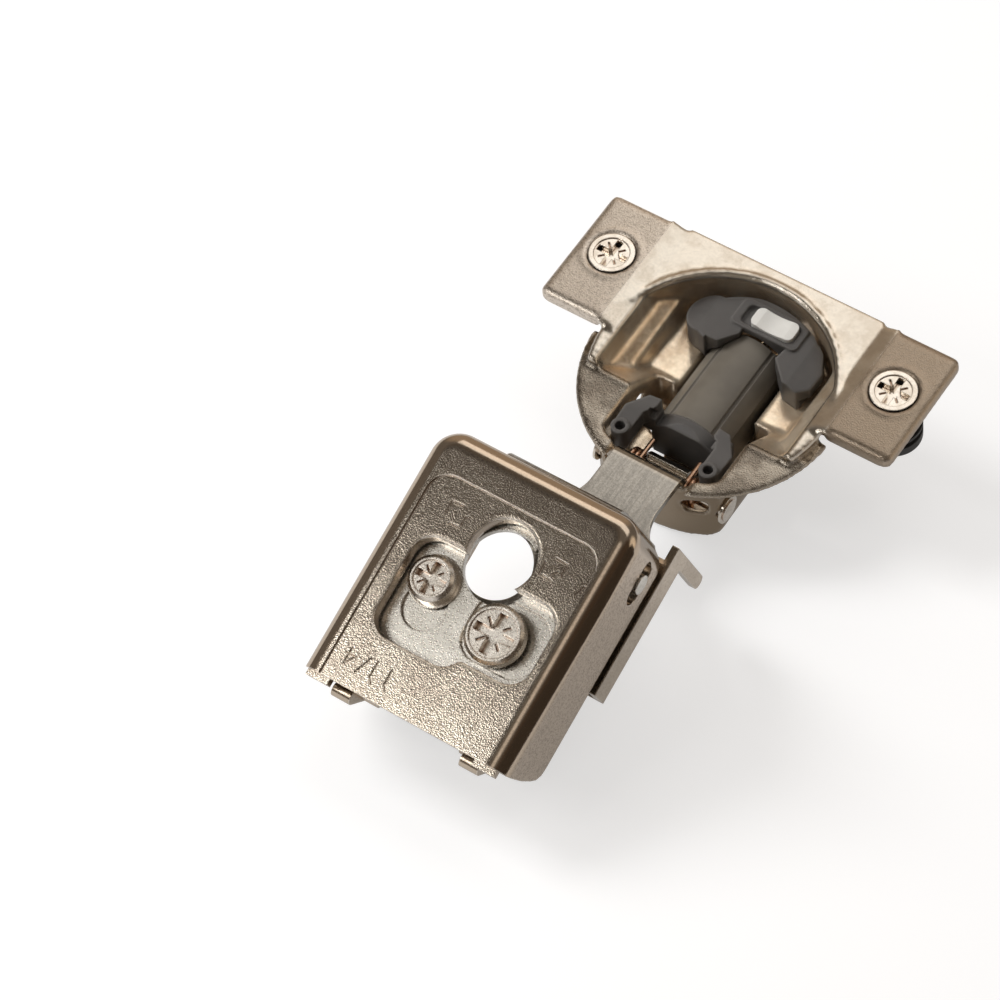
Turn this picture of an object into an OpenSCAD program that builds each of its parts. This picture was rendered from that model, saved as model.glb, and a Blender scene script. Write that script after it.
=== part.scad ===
// Concealed cup hinge for face frames, fully open and lying on a flat surface.
// Cup frame: origin at the cup centre on the flange face, +Y away from the arm, +Z out of the door.
// Housing frame: origin at the rear of the recessed panel, +Y towards the cup, +Z out of the cover.

/* [Resting place] */
// tilt of the flange to the ground, degrees
rest_tilt = 13.65; // [0:0.01:25]
// height of the cup centre above the ground
rest_height = 17.393; // [10:0.001:30]
// shift of the whole hinge along the ground
rest_shift = 26.7; // [0:0.01:60]

/* [Sheet and fits] */
// sheet of the cup and flange
cup_t = 0.9; // [0.7:0.05:1.4]
// sheet of the arm
arm_t = 1.1; // [0.8:0.05:1.6]
// sheet of the housing cover
cover_t = 1.0; // [0.8:0.05:1.5]
// sheet of the fixing base
base_t = 1.0; // [0.8:0.05:1.5]
// radial room of a turning fit
run_fit = 0.05; // [0.02:0.01:0.1]
// gap between parts that slide past each other
slide_gap = 0.3; // [0.1:0.05:0.6]

/* [Cup and flange] */
// radius of the cup below the flange
cup_r = 17.3; // [12:0.1:18]
// depth of the cup below the flange face
cup_depth = 13.7; // [10:0.1:15]
// how far the front deck stands outside the cup
deck_lip = 1.4; // [0.3:0.1:3]
// depth of the front deck below the flange face
deck_drop = 1.5; // [0.5:0.1:3]
// edge of the front deck, where the cup wall starts
deck_y = -6.3; // [-8:0.1:-4]
// half width of the front channel, outside
channel_w = 9.9; // [8:0.1:12]
// half width of the rear channel, inside
channel_rear_w = 6; // [5.6:0.1:8]
// rounding along the bottom of the channel
channel_round = 2.2; // [1:0.1:4]
// depth of the side pads
pad_z = 7.3; // [4:0.1:9]
// outer edge of the side pads
pad_out = 11.2; // [10.8:0.1:13]
// terrace above the side pads, start and end across, depth at both
terrace = [12, 14.2, -4.6, -3]; // [-6:0.1:15]
// outer edge of the slope above the terrace
pad_slope = 15.2; // [14.6:0.1:16]
// front end of the side pads
pad_front = 0.6; // [-2:0.1:3]
// rear edge of the flange
flange_rear = 19.1; // [17.5:0.1:24]
// length of the ramp up to the wings
wing_ramp = 2.5; // [1.5:0.1:3]
// wing between the ramp and its screw
wing_before = 4.4; // [4.2:0.1:5]
// wing outside its screw
wing_after = 5.4; // [4.2:0.1:9]
// rise of the wings
wing_rise = 0.8; // [0:0.1:2]
// front edge of the wings
wing_front = -0.9; // [-3:0.1:2]
// rear edge of the wings
wing_rear = 18.6; // [16:0.1:24]
// depth of the folded wing edge
wing_fold = 2; // [1:0.1:3]
// radius of the folded wing edge
wing_edge = 1.1; // [1:0.1:2]
// radius of the wing corners
wing_corner = 1.5; // [1:0.1:3]
// half spacing of the wing screws
screw_x = 22.5; // [21.5:0.1:26]
// distance of the wing screws behind the cup centre
screw_y = 9.5; // [4:0.1:12]

/* [Wing screws and dowels] */
// head radius
wing_head_r = 3.3; // [2.5:0.1:4]
// shank radius
wing_shank_r = 1.45; // [1:0.05:2.2]
// dowel radius
dowel_r = 4; // [3:0.1:5.5]
// dowel length below the wing
dowel_l = 9; // [6:0.1:14]

/* [Main pivot] */
// pivot behind the front of the cup
pivot_in = 4.3; // [2:0.1:7]
// pivot below the flange face
pivot_z = -8.4; // [-11:0.1:-6]
// pin radius
pivot_r = 1.25; // [0.9:0.05:2]
// rivet head radius
pivot_head_r = 2.1; // [1.6:0.1:3]
// rivet head height outside the channel
pivot_head_l = 0.55; // [0.3:0.05:1.2]

/* [Arm] */
// half width of the neck
neck_w = 5.2; // [3:0.1:8]
// half width of the eye in the cup
eye_w = 3.2; // [2:0.1:5.2]
// half width of the arm at the housing
arm_w = 8.7; // [6:0.1:11]
// middle of the neck below the flange face
neck_z = -1.1; // [-2:0.05:0]
// end of the neck bend in front of the pivot
neck_ahead = 2.8; // [1.5:0.05:3.5]
// radius of the neck bend
neck_bend = 1.4; // [0.8:0.1:2]
// curve that widens the neck
neck_curve = 6.6; // [3:0.1:12]
// place where the neck starts to widen, in front of the pivot
neck_run = 9; // [6:0.1:12]
// middle of the upright leg, in the housing frame
leg_y = 6.65; // [6.5:0.05:10]
// middle of the arm plate below the cover
arm_z = -7.6; // [-9:0.1:-5]
// front end of the arm plate
arm_front = -21; // [-26:0.5:-16]
// radius of the upper bend
upper_bend = 2.6; // [1.5:0.1:5]
// radius of the lower bend
lower_bend = 1.9; // [1.2:0.1:4]

/* [Housing cover] */
// opening angle beyond 90 degrees
housing_tilt = 19.1; // [0:0.1:35]
// housing origin in front of the pivot
housing_out = 30.2; // [20:0.1:45]
// housing origin above the flange face
housing_z = 24; // [10:0.1:40]
// half width of the cover
cover_w = 15.5; // [12:0.1:20]
// rear end of the cover
cover_rear = 5.8; // [3:0.1:10]
// front end of the cover
cover_front = -30.1; // [-45:0.1:-24]
// depth of the side walls
cover_wall = 12.9; // [8:0.1:20]
// roll radius along the sides and the rear
cover_roll = 2.8; // [1.2:0.1:3.4]
// depth of the rear wall
rear_wall = 4.8; // [3.7:0.1:8]
// radius of the rear corners seen from above
corner_r = 4; // [3.5:0.1:6]
// half width of the recessed panel
panel_w = 12.65; // [8:0.05:16]
// depth of the recessed panel
panel_d = 0.35; // [0:0.05:0.8]
// length of the guide slot in the side walls
slot_l = 6.2; // [4:0.1:12]
// width of the guide slot
slot_w = 3.1; // [3:0.1:4]
// depth of the guide slot below the cover
slot_z = -8.8; // [-10:0.1:-5]

/* [Cover opening] */
// centre of the round lobe
eyehole = [0.7, -6.2]; // [-12:0.1:12]
// radius of the round lobe
eyehole_r = 4.75; // [3:0.1:6]
// left lobe, lower left and upper right corner
left_lobe = [-10.4, -22.3, 3, -7.9]; // [-26:0.1:12]
// right lobe, lower left and upper right corner
right_lobe = [-3, -20.3, 11.8, -9.2]; // [-26:0.1:12]
// corner radius of the lobes
lobe_r = 3.1; // [1:0.1:5]
// depth of the turned-in edge
lobe_lip = 1.5; // [0.8:0.1:2.2]

/* [Adjusting screws] */
// place of the depth screw
depth_screw_at = [-6.4, -12.8]; // [-26:0.1:12]
// place of the height screw
height_screw_at = [4.7, -15.3]; // [-26:0.1:12]
// head radius of the depth screw
depth_head_r = 3.1; // [2.5:0.05:4]
// head radius of the height screw
height_head_r = 4; // [3:0.05:4.6]
// head height
adjust_head_l = 1.9; // [0.8:0.1:2.4]
// top of the heads below the cover
adjust_top = -0.9; // [-2:0.1:0]
// shank radius
adjust_shank_r = 1.6; // [1:0.1:2.4]
// radius of the cam on the height screw
cam_r = 2.5; // [2:0.1:3.2]
// throw of the cam
cam_throw = 1.2; // [0.5:0.1:1.8]
// height travel to each side
height_travel = 1; // [0:0.1:1.6]
// depth travel
depth_travel = 1.6; // [0:0.1:1.8]
// top of the adjusting plate
plate_z = -3.1; // [-4:0.05:-2.8]
// sheet of the adjusting plate
plate_t = 1.1; // [0.8:0.05:1.6]

/* [Fixing base] */
// underside that lies on the cabinet frame
mount_z = -18.6; // [-24:0.1:-14]
// half width of the base channel
base_w = 10.9; // [9:0.1:14]
// how far the rails stand outside the cover
rail_out = 0.4; // [0:0.1:1.5]
// height of the upturned rails
rail_h = 4.4; // [3:0.1:5]
// front end of the rails
rail_front = -15; // [-24:0.1:-8]
// front end of the base
base_front = -27.5; // [-30:0.1:-20]
// rear end of the base
base_rear = 4.6; // [2:0.1:5.5]
// edge of the locating tabs that meets the frame
tab_y = 4.75; // [4.65:0.05:6.5]
// width of the locating tabs
tab_w = 2; // [1.4:0.1:3]
// end of the locating tabs
tab_end = -28.6; // [-40:0.1:-22]
// guide boss radius
guide_r = 1.35; // [0.7:0.05:1.4]
// top of the base web
web_z = -10.7; // [-12:0.1:-10]

/* [Latch] */
// latch pin place behind the front, along and below the cover
latch_at = [-22.6, -14]; // [-30:0.1:0]
// latch pin radius
latch_r = 1; // [0.7:0.05:1.6]
// room between the latch and the walls of the base
latch_gap = 0.6; // [0.3:0.1:2]
// reach of the latch arms, forwards and up
latch_reach = 6.4; // [4:0.1:8]
// sheet of the latch
latch_t = 2; // [1.2:0.1:2.2]
// how far the hooks of the latch reach inside and outside its arms
hook_reach = [0.9, 1.9]; // [0.3:0.1:3]

/* [Damper] */
// half width of the damper body
body_w = 5.2; // [3:0.1:5.6]
// top of the damper body below the flange face
body_top = -3.8; // [-6:0.1:-2]
// radius of the rounded top
body_r = 6; // [5.6:0.1:9]
// front end of the open damper body behind the pivot
body_back = 7.2; // [5:0.1:9]
// rear end of the damper body when open
body_rear = 9.8; // [6:0.1:11]
// travel of the damper
damper_travel = 5.3; // [3:0.1:6]
// rod radius
rod_r = 1.1; // [0.8:0.05:1.6]
// top of the saddle below the flange face
saddle_top = -2.8; // [-3.5:0.1:-1]
// half width of the saddle
saddle_w = 10.2; // [9.6:0.1:10.6]
// thickness of the saddle's top
saddle_t = 2.6; // [1.6:0.1:3.5]
// shift of the saddle to the right
saddle_x = 0.5; // [0:0.1:1]
// bosses of the bracket behind the pivot
boss_back = 0.5; // [-2:0.1:3]
// room between the bosses and the wall of the channel
boss_gap = 0.7; // [0.3:0.1:2]
// boss radius
boss_r = 1.3; // [0.9:0.05:1.6]
// top of the bracket below the flange face
bracket_top = -1.75; // [-3:0.05:-1]
// switch size along, across and above its bed
switch_size = [6.6, 3.1, 1.2]; // [0.5:0.1:9]
// switch centre on the saddle
switch_at = [2.1, 12.3]; // [-6:0.1:14]
// switch travel to one side
switch_travel = 1.4; // [0.5:0.1:2]

/* [Springs] */
// wire radius of the closing springs
wire_r = 0.36; // [0.25:0.01:0.6]
// winding radius of the closing springs
coil_r = 1.8; // [1.7:0.05:3]

/* [Hidden] */
$fn = 96;
step = 0.01;
wing_in = screw_x - wing_before;
wing_out = screw_x + wing_after;
flange_mid = wing_in - wing_ramp;
rail_w = cover_w + rail_out;
plate_w = cover_w - cover_t - 1.5;
latch_w = base_w - base_t - latch_gap;
hook_x = [latch_w - hook_reach[0], latch_w + hook_reach[1]];
deck_r = cup_r + deck_lip;
pivot_y = pivot_in - cup_r;
neck_rear = pivot_y - neck_ahead;
neck_flare = pivot_y - neck_run;
housing_y = pivot_y - housing_out;
boss = [channel_w - cup_t - boss_r - boss_gap, pivot_y + boss_back];
body_front = pivot_y + body_back;
cup_in = cup_r - cup_t;
floor_z = -cup_depth + cup_t;
arm_h = arm_t / 2;
eye_c = pivot_r + run_fit + arm_h;
leg_x = neck_curve + neck_w;
body_mid = body_top - body_r;
body_low = floor_z + slide_gap;

// a point of the cup frame, [y, z], given in the housing frame
function seen_y(y, z) = (y - housing_y) * cos(housing_tilt) + (z - housing_z) * sin(housing_tilt);
function seen_z(y, z) = -(y - housing_y) * sin(housing_tilt) + (z - housing_z) * cos(housing_tilt);
function to_housing(p) = [seen_y(p[0], p[1]), seen_z(p[0], p[1])];

// placing

module lying() {
    translate([0, rest_shift, rest_height])
        rotate([rest_tilt, 0, 0])
            children();
}

module in_housing() {
    lying()
        translate([0, housing_y, housing_z])
            rotate([housing_tilt, 0, 0])
                children();
}

module both_sides() {
    children();
    mirror([1, 0, 0]) children();
}

// general shapes

// box from its low corner to its high corner
module block(a, b) {
    translate(a) cube([b[0] - a[0], b[1] - a[1], b[2] - a[2]]);
}

// flat outline in the y-z plane carried along x
module along_x(a, b) {
    translate([a, 0, 0])
        rotate([90, 0, 90])
            linear_extrude(height = b - a)
                children();
}

// flat outline in the x-z plane carried along y
module along_y(a, b) {
    translate([0, b, 0])
        rotate([90, 0, 0])
            linear_extrude(height = b - a)
                children();
}

module pin_x(at, r, a, b) {
    translate([a, at[0], at[1]])
        rotate([0, 90, 0])
            cylinder(r = r, h = b - a);
}

module round_rect(a, b, r) {
    for (x = [a[0] + r, b[0] - r])
        for (y = [a[1] + r, b[1] - r])
            translate([x, y]) circle(r = r);
    translate([a[0] + r, a[1]]) square([b[0] - a[0] - 2 * r, b[1] - a[1]]);
    translate([a[0], a[1] + r]) square([b[0] - a[0], b[1] - a[1] - 2 * r]);
}

// straight piece of sheet from p to q with round ends
module strip(p, q, t, end = 1) {
    d = q - p;
    translate(p)
        rotate(atan2(d[1], d[0]))
            translate([0, -t / 2])
                square([norm(d), t]);
    translate(p) circle(r = end * t / 2);
    translate(q) circle(r = end * t / 2);
}

// bent piece of sheet about c from angle a to angle b
module bend(c, r, t, a, b) {
    big = 3 * (r + t);
    m = (a + b) / 2;
    translate(c)
        intersection() {
            difference() {
                circle(r = r + t / 2);
                circle(r = r - t / 2);
            }
            polygon([
                [0, 0],
                big * [cos(a), sin(a)],
                big * [cos((a + m) / 2), sin((a + m) / 2)],
                big * [cos(m), sin(m)],
                big * [cos((b + m) / 2), sin((b + m) / 2)],
                big * [cos(b), sin(b)]
            ]);
        }
}

// cross recess cut into a head whose top is at z = 0
module cross_recess(r, depth) {
    for (a = [0, 90])
        rotate(a) block([-r, -r * 0.21, -depth], [r, r * 0.21, 1]);
    // fine cross between the arms
    for (a = [45, 135])
        rotate(a) block([-r * 0.85, -r * 0.06, -depth * 0.4], [r * 0.85, r * 0.06, 1]);
    translate([0, 0, -depth]) cylinder(r = r * 0.42, h = depth + 1);
}

// cup and flange

// outline of the wing section, drawn inward by g
module wing_section_x(g) {
    x0 = wing_in;
    x1 = wing_out - g;
    z1 = wing_rise - g;
    r = wing_edge - g;
    translate([x0 - 1, wing_rise - wing_fold - 1]) square([x1 - r - x0 + 1, z1 - wing_rise + wing_fold + 1]);
    translate([x0 - 1, wing_rise - wing_fold - 1]) square([x1 - x0 + 1, z1 - r - wing_rise + wing_fold + 1]);
    translate([x1 - r, z1 - r]) circle(r = r);
}

module wing_section_y(g) {
    y0 = wing_front + g;
    y1 = wing_rear - g;
    z1 = wing_rise - g;
    r = wing_edge - g;
    z0 = wing_rise - wing_fold - 1;
    translate([y0 + r, z0]) square([y1 - y0 - 2 * r, z1 - z0]);
    translate([y0, z0]) square([y1 - y0, z1 - r - z0]);
    for (y = [y0 + r, y1 - r])
        translate([y, z1 - r]) circle(r = r);
}

module wing_form(g) {
    intersection() {
        along_y(wing_front, wing_rear) wing_section_x(g);
        along_x(wing_in, wing_out) wing_section_y(g);
        translate([0, 0, wing_rise - wing_fold])
            linear_extrude(height = wing_fold)
                intersection() {
                    round_rect([wing_in - 9, wing_front + g], [wing_out - g, wing_rear - g], wing_corner - g * 0.9);
                    translate([wing_in, wing_front]) square([wing_out - wing_in, wing_rear - wing_front]);
                }
    }
}

module wing() {
    difference() {
        wing_form(0);
        difference() {
            wing_form(cup_t);
            block([wing_in - 1, wing_front, wing_rise - cup_t], [wing_out, wing_rear, wing_rise]);
        }
    }
    // ramp between the middle and the wing
    along_y(wing_front, wing_rear)
        polygon([
            [flange_mid, 0],
            [wing_in, wing_rise],
            [wing_in + 0.2, wing_rise],
            [wing_in + 0.2, wing_rise - cup_t],
            [flange_mid, -cup_t]
        ]);
    // ring pressed up round the screw
    translate([screw_x, screw_y, wing_rise - cup_t])
        cylinder(r = dowel_r + 0.1, h = cup_t + 0.12);
}

// section of the channel across x, drawn inward by g
module channel_section(g, width) {
    w = width - g;
    r = channel_round - g;
    z0 = -cup_depth + g;
    translate([-w, z0 + r]) square([2 * w, 2 - z0 - r]);
    translate([-w + r, z0]) square([2 * (w - r), r + 1]);
    for (x = [-w + r, w - r])
        translate([x, z0 + r]) circle(r = r);
}

// deep channel, wide at the front and narrow between the pads
module channel_form(g) {
    intersection() {
        translate([0, 0, -cup_depth - 1]) cylinder(r = cup_r - g, h = cup_depth + 3);
        union() {
            along_y(-cup_r - 1, pad_front - g) channel_section(g, channel_w);
            along_y(-1, cup_r + 1) channel_section(g, channel_rear_w + cup_t);
        }
    }
}

// round bowl behind the pads
module bowl_form(g) {
    intersection() {
        translate([0, 0, -pad_z - cup_t + g]) cylinder(r = cup_r - g, h = pad_z + 3);
        block([-20, pad_front - 0.3 + g, -20], [20, 20, 2]);
        along_y(-1, cup_r + 1) slope_section(g);
    }
}

// section of the pads, the terrace and the slopes beside them, drawn inward by g
module slope_section(g) {
    t = cup_t - g;
    low = -pad_z - t;
    top = pad_slope + t;
    polygon([
        [-pad_out - t, low], [pad_out + t, low],
        [terrace[0] + t, terrace[2] - t], [terrace[1] + t, terrace[3] - t],
        [top, 0], [top + 0.6, 2], [-top - 0.6, 2], [-top, 0],
        [-terrace[1] - t, terrace[3] - t], [-terrace[0] - t, terrace[2] - t]
    ]);
}

// sloping pocket on both sides of the channel
module pocket_form(g) {
    low = -pad_z - cup_t + g;
    front = deck_y - cup_t + g;
    intersection() {
        along_y(-12, pad_front + 2) slope_section(g);
        along_x(-20, 20)
            polygon([
                [pad_front + 2, low], [pad_front - cup_t + g, low], [front, -deck_drop],
                [front, 2], [pad_front + 2, 2]
            ]);
    }
}

module cup_form(g) {
    channel_form(g);
    bowl_form(g);
    pocket_form(g);
}

// bright rolled edge along a straight line of the deck
module rolled_edge(p, q) {
    d = q - p;
    translate([p[0], p[1], -deck_drop - 0.5])
        rotate([0, 90, atan2(d[1], d[0])])
            cylinder(r = 0.62, h = norm(d));
}

module cup_sheet() {
    difference() {
        union() {
            // flat middle of the flange
            block([-flange_mid - 0.1, wing_front, -cup_t], [flange_mid + 0.1, flange_rear, 0]);
            intersection() {
                block([-20, deck_y, -cup_t], [20, wing_front + 0.1, 0]);
                cylinder(r = cup_r + 0.1, h = 4, center = true);
            }
            // deck in front, one step lower
            difference() {
                translate([0, 0, -deck_drop - cup_t]) cylinder(r = deck_r, h = cup_t);
                block([-20, wing_front - 0.2, -5], [20, 20, 1]);
            }
            // step between flange and deck
            intersection() {
                translate([0, 0, -deck_drop - cup_t]) cylinder(r = cup_r + 0.1, h = deck_drop + cup_t);
                block([-20, deck_y - 0.1, -5], [20, wing_front, 0]);
            }
            intersection() {
                cup_form(0);
                union() {
                    block([-20, deck_y - 0.1, -20], [20, 20, 0]);
                    block([-20, -20, -20], [20, deck_y, -deck_drop]);
                }
            }
            for (s = [-1, 1]) {
                rolled_edge([s * 15.8, deck_y - 0.25], [s * (channel_w - 0.5), deck_y - 0.5]);
                rolled_edge([s * (channel_w - 0.5), deck_y - 0.5], [s * (channel_w - 0.5), -13.6]);
            }
        }
        cup_form(cup_t);
    }
    // rim bead
    difference() {
        rotate_extrude()
            translate([cup_in + 0.5, -0.35]) circle(r = 0.65);
        block([-20, -20, -3], [20, 0, 3]);
    }
    both_sides() wing();
}

module cup() {
    color([0.62, 0.58, 0.52])
    lying()
    difference() {
        cup_sheet();
        // notch that lets the neck out over the front wall
        along_y(-deck_r - 1, pivot_y + 0.5)
            polygon([
                [-7.2, 2], [7.2, 2], [6.6, -deck_drop + 0.1], [5.9, -2.6],
                [4.9, -2.9], [4.9, -3.3], [-4.9, -3.3], [-4.9, -2.9], [-5.9, -2.6], [-6.6, -deck_drop + 0.1]
            ]);
        // windows in the front wall beside the neck
        both_sides()
            along_y(-cup_r - 1, -cup_in + 2.5)
                union() {
                    translate([6.2, -8]) square([2, 2.6]);
                    translate([6.2, -6.7]) circle(r = 1.3);
                }
        // windows in the side walls of the channel
        pin_x([-5, -7.4], 1.1, -channel_w - 1, channel_w + 1);
        // holes in the channel floor
        both_sides() {
            translate([7, -4.3, -cup_depth - 1]) cylinder(r = 0.9, h = 3);
            translate([5, -7.9, -cup_depth - 1]) cylinder(r = 1.1, h = 3);
        }
        translate([0, 12.4, -cup_depth - 1]) cylinder(r = 1.6, h = 3);
        // pin holes
        pin_x([pivot_y, pivot_z], pivot_r, -20, 20);
        // countersinks and holes of the wing screws
        both_sides()
            translate([screw_x, screw_y, wing_rise + 0.13]) {
                translate([0, 0, -2.1]) cylinder(r1 = wing_head_r - 1.7, r2 = wing_head_r + 0.35, h = 2.11);
                translate([0, 0, -3]) cylinder(r = wing_shank_r + 0.3, h = 4);
            }
    }
}

module main_pin() {
    color([0.7, 0.66, 0.58])
    lying() {
        pin_x([pivot_y, pivot_z], pivot_r, -channel_w, channel_w);
        both_sides() {
            pin_x([pivot_y, pivot_z], pivot_head_r, channel_w, channel_w + pivot_head_l * 0.6);
            pin_x([pivot_y, pivot_z], pivot_head_r - 0.5, channel_w, channel_w + pivot_head_l);
        }
    }
}

// points of a wire wound round the x axis, with a straight leg before and after the coil
function coil_path(r, pitch, turns, start, leg_a, leg_b, n) = concat(
    [[0, r * cos(start), r * sin(start)] + leg_a * [0, sin(start), -cos(start)]],
    [for (i = [0:turns * n])
        let (a = start + i * 360 / n)
        [i * pitch / n, r * cos(a), r * sin(a)]],
    [let (a = start + turns * 360)
        [turns * pitch, r * cos(a), r * sin(a)] + leg_b * [0, -sin(a), cos(a)]]
);

function unit(v) = v / norm(v);

// round wire along a path that never runs along x
module wire(path, r, m = 10) {
    last = len(path) - 1;
    points = [for (i = [0:last])
        let (
            t = unit(path[min(i + 1, last)] - path[max(i - 1, 0)]),
            u = unit(cross(t, [1, 0, 0])),
            v = cross(u, t)
        )
        for (j = [0:m - 1]) path[i] + r * (cos(j * 360 / m) * u + sin(j * 360 / m) * v)];
    sides = [for (i = [0:last - 1]) for (j = [0:m - 1])
        [i * m + j, (i + 1) * m + j, (i + 1) * m + (j + 1) % m, i * m + (j + 1) % m]];
    ends = [[for (j = [0:m - 1]) j], [for (j = [m - 1:-1:0]) last * m + j]];
    polyhedron(points = points, faces = concat(sides, ends), convexity = 8);
}

// closing spring wound round the main pin, one leg against the arm and one against the cup
module closing_spring() {
    translate([eye_w + 0.2 + wire_r, pivot_y, pivot_z])
        wire(coil_path(coil_r, 2 * wire_r + 0.04, 2.25, 90, 3.4, 3.2, 24), wire_r);
}

module spring_left() {
    color([0.72, 0.45, 0.3])
    lying() mirror([1, 0, 0]) closing_spring();
}

module spring_right() {
    color([0.72, 0.45, 0.3])
    lying() closing_spring();
}

module wing_screw() {
    translate([screw_x, screw_y, wing_rise + 0.05])
        difference() {
            union() {
                translate([0, 0, -1.75]) cylinder(r1 = wing_shank_r, r2 = wing_head_r, h = 1.75);
                translate([0, 0, -dowel_l]) cylinder(r = wing_shank_r, h = dowel_l - 1.7);
                translate([0, 0, -dowel_l - 1.4]) cylinder(r1 = 0.3, r2 = wing_shank_r, h = 1.41);
            }
            cross_recess(wing_head_r * 0.7, 1.2);
            // dished face
            translate([0, 0, -0.18]) cylinder(r = wing_head_r - 0.75, h = 1);
        }
}

module wing_screw_left() {
    color([0.7, 0.68, 0.62])
    lying() mirror([1, 0, 0]) wing_screw();
}

module wing_screw_right() {
    color([0.7, 0.68, 0.62])
    lying() wing_screw();
}

module wing_dowel() {
    translate([screw_x, screw_y, wing_rise - cup_t - 0.05])
        difference() {
            translate([0, 0, -dowel_l]) cylinder(r = dowel_r, h = dowel_l);
            // ring grooves that leave barbs
            for (z = [-2.7, -4.3, -5.9, -7.5])
                translate([0, 0, z])
                    difference() {
                        cylinder(r = dowel_r + 1, h = 1.1);
                        translate([0, 0, -step]) cylinder(r1 = dowel_r - 0.5, r2 = dowel_r, h = 1.1 + 2 * step);
                    }
            translate([0, 0, -dowel_l - 1]) cylinder(r = wing_shank_r + run_fit, h = dowel_l + 2);
            translate([0, 0, -1.25]) cylinder(r1 = wing_shank_r, r2 = wing_head_r - 0.4, h = 1.7);
            block([-0.35, -dowel_r - 1, -dowel_l - 1], [0.35, dowel_r + 1, -3]);
        }
}

module wing_dowel_left() {
    color([0.12, 0.12, 0.12])
    lying() mirror([1, 0, 0]) wing_dowel();
}

module wing_dowel_right() {
    color([0.12, 0.12, 0.12])
    lying() wing_dowel();
}

// damper

module saddle_outline() {
    left = saddle_x - saddle_w;
    right = saddle_x + saddle_w;
    difference() {
        intersection() {
            circle(r = cup_in - 0.8);
            union() {
                // arch
                difference() {
                    translate([saddle_x + 0.4, 4.4]) circle(r = saddle_w + 1.2);
                    translate([-20, -20]) square([40, 30]);
                }
                // round left lobe with its toe
                translate([left + 2.9, 9.8]) circle(r = 3.3);
                polygon([[left + 1.1, 7.2], [left + 5.3, 5.6], [left + 8, 9], [left + 8, 13], [left + 3, 13]]);
                // right lobe, cut off square
                polygon([
                    [right + 0.6, 9.4], [right + 0.5, 6.4], [right - 0.8, 4.8], [right - 3.2, 5.2],
                    [right - 6, 8], [right - 5, 13], [right - 1.2, 12.8]
                ]);
            }
        }
        translate([saddle_x + 0.6, 2.6]) circle(r = body_w + 0.9);
        // passage of the damper body between the legs
        translate([-body_w - slide_gap, -8]) square([2 * (body_w + slide_gap), 14.5]);
    }
}

module damper_saddle() {
    color([0.25, 0.25, 0.26])
    lying()
    difference() {
        union() {
            translate([0, 0, saddle_top - saddle_t]) linear_extrude(height = saddle_t) saddle_outline();
            // legs that stand on the pads
            translate([0, 0, -pad_z])
                linear_extrude(height = pad_z + saddle_top - 0.5)
                    intersection() {
                        saddle_outline();
                        translate([-pad_out + 1, 0]) square([2 * pad_out - 2, 20]);
                    }
            // raised bed of the switch
            translate([0, 0, saddle_top - 1])
                linear_extrude(height = 1.35)
                    intersection() {
                        round_rect(switch_at - [6, 2.3], switch_at + [4.5, 2.3], 0.8);
                        circle(r = cup_in - 1);
                    }
        }
        // passage of the damper body
        along_y(-5, 20) body_section(slide_gap);
        // lobes fall away outwards
        for (s = [-1, 1])
            translate([saddle_x + s * (saddle_w - 2.6), 0, saddle_top])
                rotate([0, s * 15, 0])
                    block([-6 + 6 * s, 0, 0], [6 + 6 * s, 20, 4]);
        // bed of the switch
        translate([0, 0, saddle_top - 0.35])
            linear_extrude(height = 3)
                round_rect(
                    switch_at - [switch_size[0] / 2 + switch_travel + 0.15, switch_size[1] / 2 + 0.15],
                    switch_at + [switch_size[0] / 2 + 0.15, switch_size[1] / 2 + 0.15],
                    0.9
                );
    }
}

module damper_switch() {
    w = switch_size[0] / 2;
    d = switch_size[1] / 2;
    z0 = saddle_top - 0.3;
    color([0.93, 0.93, 0.91])
    lying()
    difference() {
        translate([switch_at[0], switch_at[1], z0])
            linear_extrude(height = switch_size[2])
                round_rect([-w, -d], [w, d], 0.9);
        // hollow across the middle for the fingertip
        translate([switch_at[0], switch_at[1] - 5, z0 + switch_size[2] + 7.4])
            rotate([-90, 0, 0])
                cylinder(r = 7.7, h = 10, $fn = 128);
    }
}

// section of the damper body, drawn outward by g
module body_section(g) {
    intersection() {
        translate([0, body_mid]) circle(r = body_r + g);
        translate([-body_w - g, body_low - g]) square([2 * body_w + 2 * g, body_top - body_low + 2 * g]);
    }
}

module damper_body() {
    color([0.36, 0.34, 0.32])
    lying()
    difference() {
        union() {
            along_y(body_front, body_rear)
                difference() {
                    body_section(0);
                    // grooves beside the middle rib
                    for (x = [-3.3, 3.3])
                        translate([x, body_mid + sqrt(body_r * body_r - x * x)]) circle(r = 0.3, $fn = 24);
                }
        }
        // bore for the rod
        translate([0, body_front + 2.5, body_mid + 0.6])
            rotate([-90, 0, 0])
                cylinder(r = rod_r + run_fit, h = 30);
        // chamfer at the front end
        translate([0, body_front, body_top])
            rotate([30, 0, 0])
                block([-9, -3, -0.1], [9, 2, 3]);
    }
}

module damper_rod() {
    color([0.75, 0.74, 0.72])
    lying() {
        translate([0, body_front + damper_travel + 2.9, body_mid + 0.6])
            rotate([-90, 0, 0])
                cylinder(r = rod_r, h = cup_in - 0.4 - body_front - damper_travel - 2.9);
        translate([0, cup_in - 1.1, body_mid + 0.6])
            rotate([-90, 0, 0])
                cylinder(r = rod_r + 0.9, h = 0.75);
    }
}

// plan of one arm of the bracket
module bracket_arm() {
    translate(boss) circle(r = boss_r);
    polygon([
        [boss[0] - boss_r, boss[1]], [boss[0] + boss_r, boss[1]], [boss[0] + boss_r + 0.2, boss[1] + 3.6],
        [boss[0] - 0.6, body_front - 0.2], [neck_w - 0.6, body_front - 0.02], [neck_w - 0.6, body_front - 1.4],
        [boss[0] - boss_r, body_front - 3]
    ]);
}

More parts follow.
